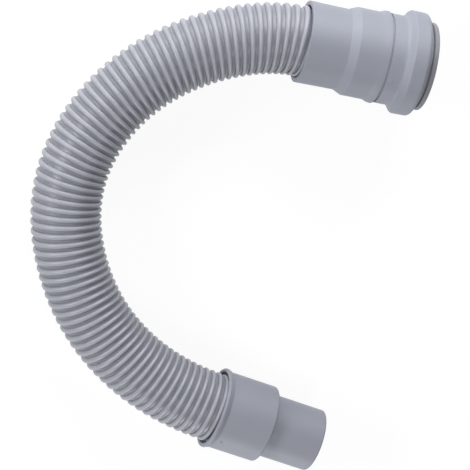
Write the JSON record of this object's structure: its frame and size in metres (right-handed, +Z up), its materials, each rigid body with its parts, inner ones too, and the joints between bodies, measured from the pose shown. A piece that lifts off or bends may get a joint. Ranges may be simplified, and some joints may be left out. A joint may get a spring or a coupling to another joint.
{
  "type": "flexible drain connector",
  "caption": "Corrugated waste hose bent in a C, with a push-fit pipe socket and lip seal at one end and a plain spigot at the other.",
  "frame": {"origin": "centre of the bounding box in plan, at its bottom: the level of the surface that the connector lies on", "axes": "+X the way the socket opens, along its bore; +Y from the spigot fitting to the socket fitting; +Z up"},
  "size_m": [0.2226, 0.3014, 0.0647],
  "materials": {
    "fitting_grey": "satin moulded grey plastic",
    "hose_grey": "smooth, slightly shiny grey soft plastic",
    "seal_black": "matt black rubber"
  },
  "bodies": {
    "root": {"socket_fitting": "fitting_grey", "lip_seal": "seal_black", "corrugated_hose": "hose_grey", "spigot_fitting": "fitting_grey"}
  },
  "joints": []
}
